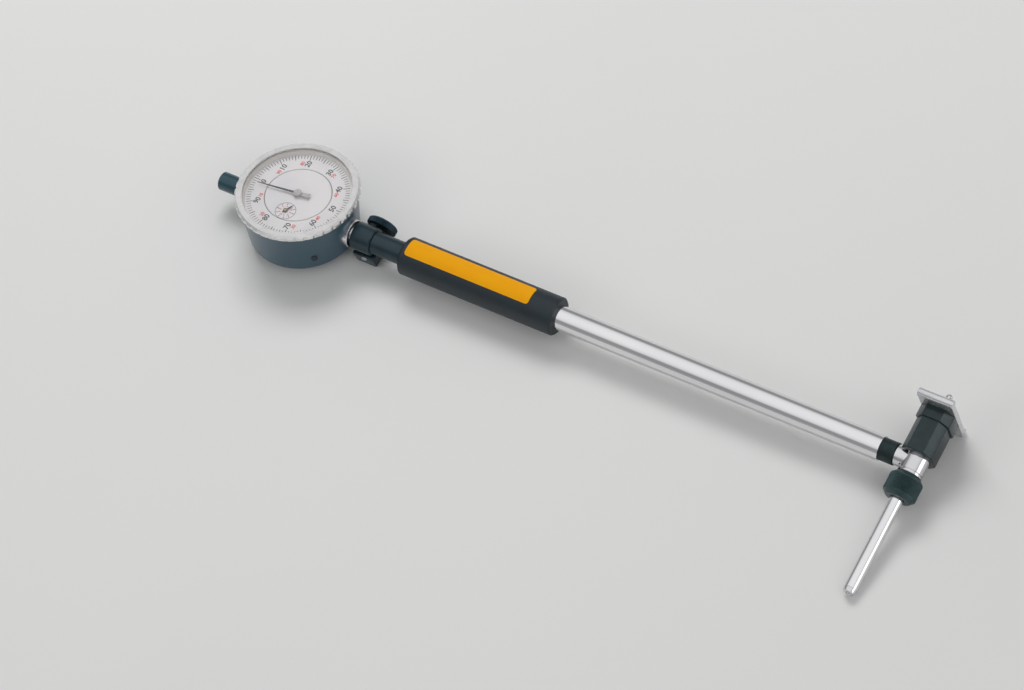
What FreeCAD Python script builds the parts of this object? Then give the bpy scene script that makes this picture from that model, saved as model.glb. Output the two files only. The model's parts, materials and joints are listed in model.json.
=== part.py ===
# Dial bore gauge with a lever head, lying on a flat surface as it comes to rest.
# Each real piece is its own solid and is written to parts/NODE.step.
import FreeCAD, Part
import math
import os

V = FreeCAD.Vector
X_AXIS, Z_AXIS = V(1, 0, 0), V(0, 0, 1)

# ---- Fits, in millimetres and per side ------------------------------------
RUN = 0.04          # a sliding or turning piece in its guide
AIR = 0.3           # pieces that pass each other without touching
STEM_FIT = 0.02     # the indicator's stem in its clamp

# ---- Indicator: x along the stem, z out of the dial, origin on the dial's axis
CASE_INNER_R = 23.5
CASE_WALL_TOP = 4.2
CASE_WALL_BACK = 2.1
CASE_TOP_R = CASE_INNER_R + CASE_WALL_TOP
CASE_BACK_R = CASE_INNER_R + CASE_WALL_BACK
CASE_BACK = 10.2
CASE_EDGE = 1.6
CASE_RIM_WALL = 1.06
BEZEL_SPIGOT = 0.6
BEZEL_SPIGOT_R = CASE_TOP_R - CASE_RIM_WALL - RUN
BEZEL_BORE_R = BEZEL_SPIGOT_R - BEZEL_SPIGOT
BEZEL_WALL = 3.0
BEZEL_R = BEZEL_BORE_R + BEZEL_WALL
BEZEL_TOP = 16.0
BEZEL_DEPTH = 2.8
BEZEL_LIP = 0.5
BEZEL_LIP_THICK = 0.8
BEZEL_EDGE = 1.0
SCALLOPS = 40
SCALLOP_R = 1.5
SCALLOP_DEEP = 0.55
CRYSTAL_THICK = 1.2
DIAL_Z = 11.8
DIAL_THICK = 0.6
DIAL_CENTRE_R = 15.5
COVER_INSET = 0.7
COVER_R = CASE_INNER_R - COVER_INSET
COVER_SINK = 0.2
COVER_THICK = 1.6
COVER_LEDGE = 1.8
COVER_SCREW_R = 1.0
COVER_SCREW_HEAD = 1.9
COVER_SCREW_INSET = 3.6
COVER_SCREW_PCD = COVER_R - COVER_SCREW_INSET
CASE_SCREW_ANGLE = -45.0
CASE_SCREW_Z = -2.5
BOSS_R = 6.4
BOSS_OUT = 0.5
BOSS_REACH = CASE_TOP_R + BOSS_OUT
STEM_R = 4.0
STEM_LONG = 14.8
STEM_END = BOSS_REACH + STEM_LONG
CAP_R = 4.4
CAP_LONG = 15.8
CAP_WALL = 1.6
CAP_END = BOSS_REACH + CAP_LONG
CAP_BUSH_LONG = 5.0
PLUNGER_R = 2.0
PLUNGER_TAIL = 7.8
PLUNGER_BACK = BOSS_REACH + PLUNGER_TAIL
PLUNGER_OUT = 1.2
PLUNGER_FRONT = STEM_END + PLUNGER_OUT
POINT_R = 1.6
POINT_LONG = 2.0
RACK_FLAT = 1.45
RACK_OVERRUN = 0.5
RACK_FRONT = 8.0
PLATE_THICK = 1.2
TOP_PLATE_R = 15.2
LOW_PLATE_Z = 2.8
PILLAR_R = 1.5
PILLAR_AT = 13.0
PILLAR_ANGLES = (-20.0, 40.0, 100.0)
ARBOR_R = 0.6
RACK_PINION_R = 1.44
GEAR_R = 9.45
GEAR_THICK = 0.8
CENTRE_PINION_R = 0.85
RACK_GEAR_Z = 5.2
COUNTER_GEAR_Z = 7.2
POINTER_Z = 13.0
POINTER_THICK = 0.3
POINTER_TIP = 20.7
POINTER_HUB_R = 1.9
POINTER_TAIL = 6.0
POINTER_READS = 98.1
COUNTER_HAND = 4.0
COUNTER_HAND_Z = 12.2
COUNTER_READS = 3.2

# ---- Body: x along the shaft, from the dial's axis -------------------------
CLAMP_GAP = 1.7
CLAMP_START = BOSS_REACH + CLAMP_GAP
CLAMP_LONG = 10.3
CLAMP_END = CLAMP_START + CLAMP_LONG
CLAMP_R = 6.6
CLAMP_SPACE = 2.6
CLAMP_DEEP = STEM_END + CLAMP_SPACE
CLAMP_SLIT = 1.0
EAR_R = 4.1
EAR_THICK = 5.2
CLAMP_SCREW_IN = 6.2
CLAMP_SCREW_X = CLAMP_START + CLAMP_SCREW_IN
CLAMP_SCREW_Z = -6.2
CLAMP_SCREW_R = 1.5
SCREW_NOSE = 0.9
KNOB_R = 7.3
KNOB_BOSS_R = 2.6
KNOB_THICK = 3.8
KNOB_GAP = 2.7
KNOB_EDGE = 0.6
NECK_R = 5.4
NECK_END = 92.0
NECK_BORE_R = 2.2
GRIP_START = 57.0
GRIP_END = 137.5
GRIP_R = 9.0
GRIP_EDGE = 0.8
LABEL_START = 57.8
LABEL_LONG = 64.0
LABEL_THICK = 0.25
LABEL_ANGLES = (20.0, 150.0)
TUBE_R = 5.7
TUBE_BORE_R = 3.4
RING_START = 299.8
RING_LONG = 7.4
RING_R = 5.15
RING_EDGE = 0.5
BUSH_LONG = 8.0
BUSH_STARTS = (100.0, 284.0)
PUSH_ROD_R = 1.6
PUSH_ROD_COLLAR_R = 2.7
PUSH_ROD_COLLAR = 2.0
ROD_SPRING_LONG = 16.0
ROD_SPRING_WIRE = 0.6
ROD_SPRING_TURNS = 6

# ---- Head: u along the measuring axis towards the moving anvil, w across ---
HEAD_X = 316.0
HEAD_R = 5.7
HEAD_LOW = -6.6
HEAD_SHOULDER = 12.0
GUIDE_R = 3.6
GUIDE_TOP = 19.4
HEAD_NECK_R = 4.7
SPIGOT_R = 4.5
SPIGOT_LOW = -13.5
GROOVE_TOP = -5.2
GROOVE_WIDE = 0.7
GROOVE_DEEP = 0.5
ROD_R = 3.1
ROD_INNER_END = -3.0
ROD_COLLAR_R = 3.9
ROD_COLLAR = 1.6
ROD_EDGE = 62.6
ROD_END = 63.8
ROD_END_R = 2.3
ROD_BALL_R = 2.1
ROD_TIP = 66.2
NUT_TOP = -6.9
NUT_LOW = -18.4
NUT_R = 7.7
NUT_BEVEL = 1.7
CRANK_ARM = 3.6
CRANK_TOE_R = 1.0
CRANK_HUB_R = 1.4
CRANK_BAR = 1.2
CRANK_THICK = 2.0
CRANK_SWING = 1.2
PIVOT_R = 0.75
PIVOT_HALF = 4.2
ANVIL_R = 2.4
ANVIL_PIN_R = 0.8
ANVIL_SHOULDER = 7.2
ANVIL_LIFT = 0.05
ANVIL_TAPER = 30.4
ANVIL_END = 32.4
ANVIL_END_R = 1.7
ANVIL_BALL_R = 1.5
ANVIL_TIP = 34.0
BRIDGE_LOW = 23.7
BRIDGE_THICK = 2.2
BRIDGE_X = 8.4
BRIDGE_HALF = 17.5
LIP_R = 1.4
LIP_RISE = 0.6
BRIDGE_TRAVEL = 3.0
CARRIAGE_LOW = 2.2
CARRIAGE_X = 7.2
CARRIAGE_W = 9.4
CARRIAGE_ROUND = 3.0
COLLAR_LONG = 6.0
COLLAR_OUT = 0.9
FACE_GROOVE = 5.0
FACE_GROOVE_DEEP = 1.3
STOP_PIN_R = 1.0
STOP_PIN_U = 8.9
STOP_PIN_OUT = 7.6
BRIDGE_SPRING_WIRE = 1.0
BRIDGE_SPRING_R = 4.7
BRIDGE_SPRING_TURNS = 4
BRIDGE_SCREW_W = 7.9
BRIDGE_SCREW_R = 1.2
BRIDGE_SCREW_HEAD = 2.1
BRIDGE_SCREW_LONG = 9.0

# ---- How it lies: the bridge's lower lip, the rod's end and the case's rim
# touch one plane, which sets how far the head and the dial lean.
LIP_U = BRIDGE_LOW + BRIDGE_THICK + LIP_RISE - LIP_R
LEAN_LONG = LIP_U + ROD_EDGE
LEAN_WIDE = BRIDGE_HALF - LIP_R - ROD_R
HEAD_TILT = math.atan2(LEAN_WIDE, LEAN_LONG) + math.asin(LIP_R / math.hypot(LEAN_LONG, LEAN_WIDE))
SHAFT_HEIGHT = ROD_EDGE * math.sin(HEAD_TILT) + ROD_R * math.cos(HEAD_TILT)
RIM_DOWN = CASE_BACK - CASE_EDGE
RIM_OUT = CASE_BACK_R - CASE_EDGE
DIAL_TILT = (math.asin((SHAFT_HEIGHT - CASE_EDGE) / math.hypot(RIM_DOWN, RIM_OUT))
             - math.atan2(RIM_DOWN, RIM_OUT))

# ---- Places that follow from the sizes above -------------------------------
BEZEL_LOW = BEZEL_TOP - BEZEL_DEPTH
CASE_RIM = BEZEL_LOW - AIR
DIAL_LOW = DIAL_Z - DIAL_THICK
COVER_TOP = COVER_SINK + COVER_THICK - CASE_BACK
CASE_FLOOR = COVER_TOP + COVER_LEDGE
TOP_PLATE_Z = DIAL_LOW - PLATE_THICK
GEAR_SPACING = GEAR_R + CENTRE_PINION_R + AIR
RACK_Y = -(RACK_FLAT + AIR + RACK_PINION_R)
RACK_AT = (-math.sqrt(GEAR_SPACING ** 2 - RACK_Y ** 2), RACK_Y)
COUNTER_AT = (0.0, -GEAR_SPACING)
POINTER_TURN = 180.0 - 3.6 * POINTER_READS
COUNTER_TURN = 180.0 - 36.0 * COUNTER_READS
POINT_END = PLUNGER_FRONT + POINT_LONG
PUSH_ROD_END = HEAD_X - CRANK_ARM - CRANK_TOE_R
HEAD_NECK_START = RING_START + RING_LONG
ROD_SPRING_START = BUSH_STARTS[0] + BUSH_LONG
KNOB_START = CLAMP_SLIT / 2 + EAR_THICK + KNOB_GAP
COLLAR_TOP = SPIGOT_LOW
NUT_SEAT = SPIGOT_LOW - ROD_COLLAR
ANVIL_START = CRANK_ARM + CRANK_TOE_R + ANVIL_LIFT

pieces = {}


def keep(node, shape, frame="shaft"):
    """Record a piece, leaned from the frame that it is drawn in onto the shaft."""
    shape = shape.copy()
    lean = {"shaft": 0.0, "dial": -math.degrees(DIAL_TILT), "head": math.degrees(HEAD_TILT)}[frame]
    shape.rotate(V(0, 0, 0), X_AXIS, lean)
    pieces[node] = shape


def turned_onto(shape, axis):
    """Turn something drawn about the z axis onto the x or y axis."""
    if axis == "x":
        shape.rotate(V(0, 0, 0), V(1, 1, 1), 120)
    if axis == "y":
        shape.rotate(V(0, 0, 0), V(1, 1, 1), -120)
    return shape


def round_bar(radius, start, end, axis="z", at=V(0, 0, 0)):
    """Cylinder from start to end along the axis through the point at."""
    shape = Part.makeCylinder(radius, end - start, V(0, 0, start))
    shape = turned_onto(shape, axis)
    shape.translate(at)
    return shape


def lathe(profile, axis="z", at=V(0, 0, 0)):
    """Solid of revolution from (radius, height) points, about the axis through at."""
    corners = [V(radius, 0, height) for radius, height in profile]
    face = Part.Face(Part.makePolygon(corners + corners[:1]))
    shape = turned_onto(face.revolve(V(0, 0, 0), Z_AXIS, 360), axis)
    shape.translate(at)
    return shape


def block(low, high):
    """Box between two opposite corners."""
    size = V(*high) - V(*low)
    return Part.makeBox(size.x, size.y, size.z, V(*low))


def fillet_along_u(shape, radius):
    """Round the long edges of a bar that runs along u."""
    edges = [edge for edge in shape.Edges
             if abs(edge.Vertexes[0].X - edge.Vertexes[-1].X) < 1e-6
             and abs(edge.Vertexes[0].Z - edge.Vertexes[-1].Z) < 1e-6]
    return shape.makeFillet(radius, edges)


def spring(radius, wire, start, end, turns, axis, at):
    """Compression spring drawn as close rings of wire, one for each turn."""
    pitch = (end - start) / turns
    outer, inner = [], []
    for n in range(turns):
        for share, bulge in ((0.0, 0.35), (0.25, 1.0), (0.75, 1.0)):
            outer.append((radius + bulge * wire / 2, start + (n + share) * pitch))
            inner.append((radius - bulge * wire / 2, start + (n + share) * pitch))
    outer.append((radius + 0.35 * wire / 2, end))
    inner.append((radius - 0.35 * wire / 2, end))
    return lathe(outer + inner[::-1], axis, at)


def on_circle(radius, degrees, z=0.0):
    """Point on a circle round the z axis."""
    angle = math.radians(degrees)
    return V(radius * math.cos(angle), radius * math.sin(angle), z)


# ---- Indicator -------------------------------------------------------------
def indicator_case():
    """Tapered cup with bosses for the stem and the cap, open to dial and back."""
    cup = lathe([(0, -CASE_BACK), (CASE_BACK_R, -CASE_BACK), (CASE_TOP_R, CASE_RIM), (0, CASE_RIM)])
    rim = [edge for edge in cup.Edges
           if abs(edge.BoundBox.ZMax + CASE_BACK) < 1e-4 and edge.BoundBox.XMax > COVER_R]
    cup = cup.makeFillet(CASE_EDGE, rim)
    cup = cup.fuse(round_bar(BOSS_R, -BOSS_REACH, BOSS_REACH, "x"))
    cup = cup.cut(round_bar(CASE_INNER_R, CASE_FLOOR, CASE_RIM))
    cup = cup.cut(round_bar(BEZEL_SPIGOT_R + RUN, DIAL_LOW - AIR, CASE_RIM))
    cup = cup.cut(round_bar(COVER_R, -CASE_BACK, COVER_TOP))
    cup = cup.cut(round_bar(COVER_R - COVER_LEDGE, COVER_TOP, CASE_FLOOR))
    for corner in (45, 135, 225, 315):
        at = on_circle(COVER_SCREW_PCD, corner)
        cup = cup.fuse(round_bar(COVER_SCREW_HEAD + 0.6, COVER_TOP, CASE_FLOOR, at=at))
        cup = cup.cut(round_bar(COVER_SCREW_R, COVER_TOP, CASE_FLOOR, at=at))
    cup = cup.cut(round_bar(STEM_R, CASE_INNER_R + AIR, BOSS_REACH, "x"))
    cup = cup.cut(round_bar(PLUNGER_R + AIR, -BOSS_REACH, BOSS_REACH, "x"))
    side_hole = round_bar(COVER_SCREW_R, CASE_INNER_R - 1, CASE_TOP_R + 1, "x", V(0, 0, CASE_SCREW_Z))
    side_hole.rotate(V(0, 0, 0), Z_AXIS, CASE_SCREW_ANGLE)
    return cup.cut(side_hole)


def case_cover():
    """Back cover let into the case, with counterbored screw holes."""
    cover = round_bar(COVER_R, COVER_SINK - CASE_BACK, COVER_TOP)
    screws = []
    for corner in (45, 135, 225, 315):
        at = on_circle(COVER_SCREW_PCD, corner)
        seat = COVER_SINK - CASE_BACK + COVER_THICK / 2
        cover = cover.cut(round_bar(COVER_SCREW_HEAD, COVER_SINK - CASE_BACK, seat, at=at))
        cover = cover.cut(round_bar(COVER_SCREW_R, seat, COVER_TOP, at=at))
        screw = round_bar(COVER_SCREW_HEAD, COVER_SINK - CASE_BACK, seat, at=at)
        screws.append(screw.fuse(round_bar(COVER_SCREW_R, seat, CASE_FLOOR, at=at)))
    keep("case_cover", cover, "dial")
    keep("cover_screws", Part.makeCompound(screws), "dial")


def case_side_screw():
    reach = CASE_BACK_R + (CASE_TOP_R - CASE_BACK_R) * (CASE_BACK + CASE_SCREW_Z) / (CASE_BACK + CASE_RIM)
    screw = round_bar(COVER_SCREW_R, CASE_INNER_R, reach + 0.35, "x", V(0, 0, CASE_SCREW_Z))
    screw.rotate(V(0, 0, 0), Z_AXIS, CASE_SCREW_ANGLE)
    return screw


def bezel():
    """Turned ring with a lip over the crystal, a scalloped rim and a spigot down in the case."""
    low_edge = BEZEL_EDGE / 2
    lip_r, lip_low = BEZEL_BORE_R - BEZEL_LIP, BEZEL_TOP - BEZEL_LIP_THICK
    ring = lathe([(BEZEL_BORE_R, DIAL_LOW), (BEZEL_SPIGOT_R, DIAL_LOW), (BEZEL_SPIGOT_R, BEZEL_LOW),
                  (BEZEL_R - low_edge, BEZEL_LOW),
                  (BEZEL_R, BEZEL_LOW + low_edge), (BEZEL_R, BEZEL_TOP - BEZEL_EDGE),
                  (BEZEL_R - BEZEL_EDGE, BEZEL_TOP), (lip_r, BEZEL_TOP), (lip_r, lip_low),
                  (BEZEL_BORE_R, lip_low)])
    for n in range(SCALLOPS):
        at = on_circle(BEZEL_R + SCALLOP_R - SCALLOP_DEEP, 360.0 * (n + 0.5) / SCALLOPS)
        ring = ring.cut(round_bar(SCALLOP_R, BEZEL_LOW, BEZEL_TOP, at=at))
    return ring


def dial():
    """The scale ring turns with the bezel; the middle of the dial stays still."""
    crystal_top = BEZEL_TOP - BEZEL_LIP_THICK
    keep("bezel", bezel(), "dial")
    keep("crystal", round_bar(BEZEL_BORE_R, crystal_top - CRYSTAL_THICK, crystal_top), "dial")
    ring = round_bar(BEZEL_BORE_R, DIAL_LOW, DIAL_Z).cut(round_bar(DIAL_CENTRE_R + AIR, DIAL_LOW, DIAL_Z))
    keep("dial_scale_ring", ring, "dial")
    centre = round_bar(DIAL_CENTRE_R, DIAL_LOW, DIAL_Z)
    for at in (V(0, 0, 0), V(*COUNTER_AT, 0)):
        centre = centre.cut(round_bar(ARBOR_R + AIR, DIAL_LOW, DIAL_Z, at=at))
    keep("dial_centre", centre, "dial")


def movement():
    """Brass plates on pillars, with the rack's arbor, the centre arbor and the counter's arbor."""
    for node, z, radius in (("movement_plate_low", LOW_PLATE_Z, CASE_INNER_R),
                            ("movement_plate_top", TOP_PLATE_Z, TOP_PLATE_R)):
        plate = round_bar(radius, z, z + PLATE_THICK)
        for at in (V(*RACK_AT, 0), V(0, 0, 0), V(*COUNTER_AT, 0)):
            plate = plate.cut(round_bar(ARBOR_R + RUN, z, z + PLATE_THICK, at=at))
        keep(node, plate, "dial")
    pillars = [round_bar(PILLAR_R, LOW_PLATE_Z + PLATE_THICK, TOP_PLATE_Z, at=on_circle(PILLAR_AT, angle))
               for angle in PILLAR_ANGLES]
    keep("movement_pillars", Part.makeCompound(pillars), "dial")
    top = TOP_PLATE_Z + PLATE_THICK
    rack_arbor = round_bar(ARBOR_R, -RACK_PINION_R - 1, top, at=V(*RACK_AT, 0))
    rack_arbor = rack_arbor.fuse(round_bar(RACK_PINION_R, -1.6, 1.6, at=V(*RACK_AT, 0)))
    rack_arbor = rack_arbor.fuse(round_bar(GEAR_R, RACK_GEAR_Z, RACK_GEAR_Z + GEAR_THICK, at=V(*RACK_AT, 0)))
    keep("rack_wheel", rack_arbor, "dial")
    centre = round_bar(ARBOR_R, LOW_PLATE_Z, POINTER_Z + 0.8)
    pinion = round_bar(CENTRE_PINION_R, RACK_GEAR_Z - AIR, COUNTER_GEAR_Z + GEAR_THICK + AIR)
    keep("centre_arbor", centre.fuse(pinion), "dial")
    counter = round_bar(ARBOR_R, LOW_PLATE_Z, COUNTER_HAND_Z + 0.4, at=V(*COUNTER_AT, 0))
    wheel = round_bar(GEAR_R, COUNTER_GEAR_Z, COUNTER_GEAR_Z + GEAR_THICK, at=V(*COUNTER_AT, 0))
    keep("counter_wheel", counter.fuse(wheel), "dial")


def needle(tip, root_wide, tip_wide, tail, z):
    """Flat tapered hand along x with a round boss at the origin."""
    outline = [V(-tail, -tip_wide, z), V(-tail, tip_wide, z), V(0, root_wide / 2, z),
               V(tip, tip_wide / 2, z), V(tip, -tip_wide / 2, z), V(0, -root_wide / 2, z)]
    return Part.Face(Part.makePolygon(outline + outline[:1])).extrude(V(0, 0, POINTER_THICK))


def hands():
    """Main hand with its hub and the small hand of the turn counter."""
    hand = needle(POINTER_TIP, 1.1, 0.3, 0.0, POINTER_Z)
    hub_ring = round_bar(POINTER_HUB_R, POINTER_Z - 0.5, POINTER_Z + 0.8)
    hub = hub_ring.fuse(needle(-POINTER_TAIL, 1.6, 2.4, 0.0, POINTER_Z))
    hub = hub.cut(round_bar(ARBOR_R, POINTER_Z - 1, POINTER_Z + 1))
    hand = hand.cut(hub_ring)
    small = needle(COUNTER_HAND, 0.8, 0.25, 1.6, COUNTER_HAND_Z)
    small = small.fuse(round_bar(1.0, COUNTER_HAND_Z, COUNTER_HAND_Z + 0.4))
    small = small.cut(round_bar(ARBOR_R, COUNTER_HAND_Z - 1, COUNTER_HAND_Z + 1))
    for node, shape, turn, at in (("main_hand", hand, POINTER_TURN, V(0, 0, 0)),
                                  ("main_hand_hub", hub, POINTER_TURN, V(0, 0, 0)),
                                  ("counter_hand", small, COUNTER_TURN, V(*COUNTER_AT, 0))):
        shape.rotate(V(0, 0, 0), Z_AXIS, turn)
        shape.translate(at)
        keep(node, shape, "dial")


def plunger():
    """Rack rod through the case, guided in the stem and in the bush under the cap."""
    rack = round_bar(PLUNGER_R, -PLUNGER_BACK, PLUNGER_FRONT, "x")
    rack_back = -CASE_INNER_R - RACK_OVERRUN
    rack = rack.cut(block((rack_back, -PLUNGER_R, -PLUNGER_R), (RACK_FRONT, -RACK_FLAT, PLUNGER_R)))
    keep("plunger_rack", rack, "dial")
    point = lathe([(0, 0), (POINT_R, 0), (POINT_R, POINT_LONG - 0.8), (0.7, POINT_LONG), (0, POINT_LONG)],
                  "x", V(PLUNGER_FRONT, 0, 0))
    keep("contact_point", point, "dial")
    stem = round_bar(STEM_R, CASE_INNER_R + AIR, STEM_END, "x")
    keep("stem", stem.cut(round_bar(PLUNGER_R + RUN, CASE_INNER_R, STEM_END, "x")), "dial")
    cap = round_bar(CAP_R, -CAP_END, -BOSS_REACH, "x")
    cap = cap.makeChamfer(0.5, [edge for edge in cap.Edges if abs(edge.BoundBox.XMax + CAP_END) < 1e-4])
    bush_r = PLUNGER_R + 0.9
    cap = cap.cut(round_bar(bush_r, CAP_WALL - CAP_END, -BOSS_REACH, "x"))
    keep("plunger_cap", cap, "dial")
    bush_end = -BOSS_REACH - CAP_BUSH_LONG
    bush = round_bar(bush_r, bush_end, -BOSS_REACH, "x")
    keep("cap_bush", bush.cut(round_bar(PLUNGER_R + RUN, bush_end, -BOSS_REACH, "x")), "dial")


# ---- Clamp, grip and shaft -------------------------------------------------
def clamp_neck():
    """Split collar for the stem with two ears, running on into the neck under the grip."""
    body = round_bar(CLAMP_R, CLAMP_START, CLAMP_END, "x").fuse(round_bar(NECK_R, CLAMP_END, NECK_END, "x"))
    half = CLAMP_SLIT / 2 + EAR_THICK
    ears = round_bar(EAR_R, -half, half, "y", V(CLAMP_SCREW_X, 0, CLAMP_SCREW_Z))
    ears = ears.fuse(block((CLAMP_SCREW_X - EAR_R, -half, CLAMP_SCREW_Z), (CLAMP_SCREW_X + EAR_R, half, 0)))
    body = body.fuse(ears)
    body = body.cut(round_bar(STEM_R + STEM_FIT, CLAMP_START, CLAMP_DEEP, "x"))
    body = body.cut(round_bar(NECK_BORE_R, CLAMP_DEEP, NECK_END, "x"))
    slit = block((CLAMP_START, -CLAMP_SLIT / 2, CLAMP_SCREW_Z - EAR_R), (CLAMP_DEEP, CLAMP_SLIT / 2, 0))
    body = body.cut(slit)
    hole = round_bar(CLAMP_SCREW_R + RUN, -half, half, "y", V(CLAMP_SCREW_X, 0, CLAMP_SCREW_Z))
    return body.cut(hole)


def clamp_screw():
    """Knob and screw that draw the two ears together."""
    at = V(CLAMP_SCREW_X, 0, CLAMP_SCREW_Z)
    nose = -CLAMP_SLIT / 2 - EAR_THICK - SCREW_NOSE
    end = KNOB_START + KNOB_THICK
    screw = lathe([(0, nose), (CLAMP_SCREW_R - 0.7, nose), (CLAMP_SCREW_R, nose + 0.7),
                   (CLAMP_SCREW_R, end), (0, end)], "y", at)
    boss = KNOB_START - KNOB_GAP
    knob = lathe([(CLAMP_SCREW_R, boss), (KNOB_BOSS_R, boss), (KNOB_BOSS_R, KNOB_START),
                  (KNOB_R - KNOB_EDGE, KNOB_START), (KNOB_R, KNOB_START + KNOB_EDGE),
                  (KNOB_R, end - KNOB_EDGE), (KNOB_R - KNOB_EDGE, end), (CLAMP_SCREW_R, end)], "y", at)
    keep("clamp_screw", screw, "head")
    keep("clamp_knob", knob, "head")


def grip():
    """Moulded sleeve over neck and tube, with the coloured label wrapped part way round."""
    sleeve = lathe([(NECK_R, GRIP_START), (GRIP_R - GRIP_EDGE, GRIP_START), (GRIP_R, GRIP_START + GRIP_EDGE),
                    (GRIP_R, GRIP_END - GRIP_EDGE), (GRIP_R - GRIP_EDGE, GRIP_END), (TUBE_R, GRIP_END),
                    (TUBE_R, NECK_END), (NECK_R, NECK_END)], "x")
    keep("grip", sleeve)
    first, last = LABEL_ANGLES
    label = Part.makeCylinder(GRIP_R + LABEL_THICK, LABEL_LONG, V(0, 0, LABEL_START), Z_AXIS, last - first)
    label = label.cut(round_bar(GRIP_R, LABEL_START, LABEL_START + LABEL_LONG))
    label.rotate(V(0, 0, 0), Z_AXIS, first)
    keep("label", turned_onto(label, "x"))


def shaft():
    """Tube with its guide bushes, the push rod, its return spring and the lock ring at the head."""
    tube = round_bar(TUBE_R, NECK_END, RING_START, "x")
    keep("shaft_tube", tube.cut(round_bar(TUBE_BORE_R, NECK_END, RING_START, "x")))
    for n, start in enumerate(BUSH_STARTS):
        bush = round_bar(TUBE_BORE_R, start, start + BUSH_LONG, "x")
        keep(f"guide_bush_{n + 1}", bush.cut(round_bar(PUSH_ROD_R + RUN, start, start + BUSH_LONG, "x")))
    collar = ROD_SPRING_START + ROD_SPRING_LONG
    push_rod = round_bar(PUSH_ROD_R, POINT_END, PUSH_ROD_END, "x")
    keep("push_rod", push_rod.fuse(round_bar(PUSH_ROD_COLLAR_R, collar, collar + PUSH_ROD_COLLAR, "x")))
    spring_r = PUSH_ROD_R + AIR + ROD_SPRING_WIRE / 2
    keep("push_rod_spring",
         spring(spring_r, ROD_SPRING_WIRE, ROD_SPRING_START, collar, ROD_SPRING_TURNS, "x", V(0, 0, 0)))
    ring = lathe([(TUBE_BORE_R, RING_START), (RING_R, RING_START), (RING_R, HEAD_NECK_START - RING_EDGE),
                  (RING_R - RING_EDGE, HEAD_NECK_START), (TUBE_BORE_R, HEAD_NECK_START)], "x")
    keep("lock_ring", ring)


# ---- Head ------------------------------------------------------------------
HEAD_AT = V(HEAD_X, 0, 0)


def head_body():
    """Sleeve across the shaft: rod socket below, crank chamber in the middle, anvil guide above."""
    low_neck = GROOVE_TOP - GROOVE_WIDE
    body = lathe([(0, SPIGOT_LOW), (SPIGOT_R, SPIGOT_LOW), (SPIGOT_R, HEAD_LOW), (HEAD_R, HEAD_LOW),
                  (HEAD_R, low_neck), (HEAD_R - GROOVE_DEEP, low_neck), (HEAD_R - GROOVE_DEEP, GROOVE_TOP),
                  (HEAD_R, GROOVE_TOP), (HEAD_R, HEAD_SHOULDER), (GUIDE_R, HEAD_SHOULDER),
                  (GUIDE_R, GUIDE_TOP), (0, GUIDE_TOP)], "y", HEAD_AT)
    body = body.fuse(round_bar(HEAD_NECK_R, HEAD_NECK_START, HEAD_X, "x"))
    body = body.fuse(round_bar(TUBE_BORE_R, RING_START - BUSH_LONG + AIR, HEAD_NECK_START, "x"))
    body = body.cut(round_bar(PUSH_ROD_R + AIR, RING_START - BUSH_LONG, HEAD_X - CRANK_ARM, "x"))
    body = body.cut(round_bar(ROD_R + RUN, SPIGOT_LOW, ROD_INNER_END + AIR, "y", HEAD_AT))
    room = CRANK_THICK / 2 + AIR
    reach = CRANK_ARM + CRANK_TOE_R + CRANK_SWING + AIR
    toe = CRANK_TOE_R + 2 * AIR
    body = body.cut(block((HEAD_X - reach, -toe, -room), (HEAD_X, toe, room)))
    body = body.cut(block((HEAD_X - CRANK_ARM - CRANK_HUB_R - AIR, -toe, -room),
                          (HEAD_X + toe, CRANK_ARM + CRANK_HUB_R + AIR, room)))
    body = body.cut(round_bar(ANVIL_R + RUN, ANVIL_SHOULDER - 2 * CRANK_SWING, GUIDE_TOP, "y", HEAD_AT))
    body = body.cut(round_bar(ANVIL_PIN_R + AIR, CRANK_ARM, ANVIL_SHOULDER, "y", HEAD_AT))
    body = body.cut(round_bar(PIVOT_R, -PIVOT_HALF, PIVOT_HALF, "z", V(HEAD_X - CRANK_ARM, CRANK_ARM, 0)))
    return body.cut(round_bar(STOP_PIN_R, ANVIL_R + 1, HEAD_R, "z", V(HEAD_X, STOP_PIN_U, 0)))


def crank():
    """Right-angle lever: the anvil presses one toe and the other pushes the rod in the shaft."""
    pivot = V(HEAD_X - CRANK_ARM, CRANK_ARM, 0)
    half, bar = CRANK_THICK / 2, CRANK_BAR / 2
    lever = round_bar(CRANK_HUB_R, -half, half, "z", pivot)
    lever = lever.fuse(block((pivot.x, pivot.y - bar, -half), (HEAD_X, pivot.y + bar, half)))
    lever = lever.fuse(block((pivot.x - bar, 0, -half), (pivot.x + bar, pivot.y, half)))
    for toe in (V(HEAD_X, CRANK_ARM, 0), V(HEAD_X - CRANK_ARM, 0, 0)):
        lever = lever.fuse(round_bar(CRANK_TOE_R, -half, half, "z", toe))
    keep("bell_crank", lever.cut(round_bar(PIVOT_R + RUN, -half, half, "z", pivot)), "head")
    keep("crank_pivot", round_bar(PIVOT_R, -PIVOT_HALF, PIVOT_HALF, "z", pivot), "head")


def moving_anvil():
    """Guided anvil with a hard ball set in its end and a thin foot on the crank."""
    ball = Part.makeSphere(ANVIL_BALL_R, V(HEAD_X, ANVIL_TIP - ANVIL_BALL_R, 0))
    anvil = lathe([(0, ANVIL_START), (ANVIL_PIN_R, ANVIL_START), (ANVIL_PIN_R, ANVIL_SHOULDER),
                   (ANVIL_R, ANVIL_SHOULDER), (ANVIL_R, ANVIL_TAPER), (ANVIL_END_R, ANVIL_END),
                   (0, ANVIL_END)], "y", HEAD_AT)
    keep("moving_anvil", anvil.cut(ball), "head")
    keep("moving_anvil_ball", ball, "head")


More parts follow.
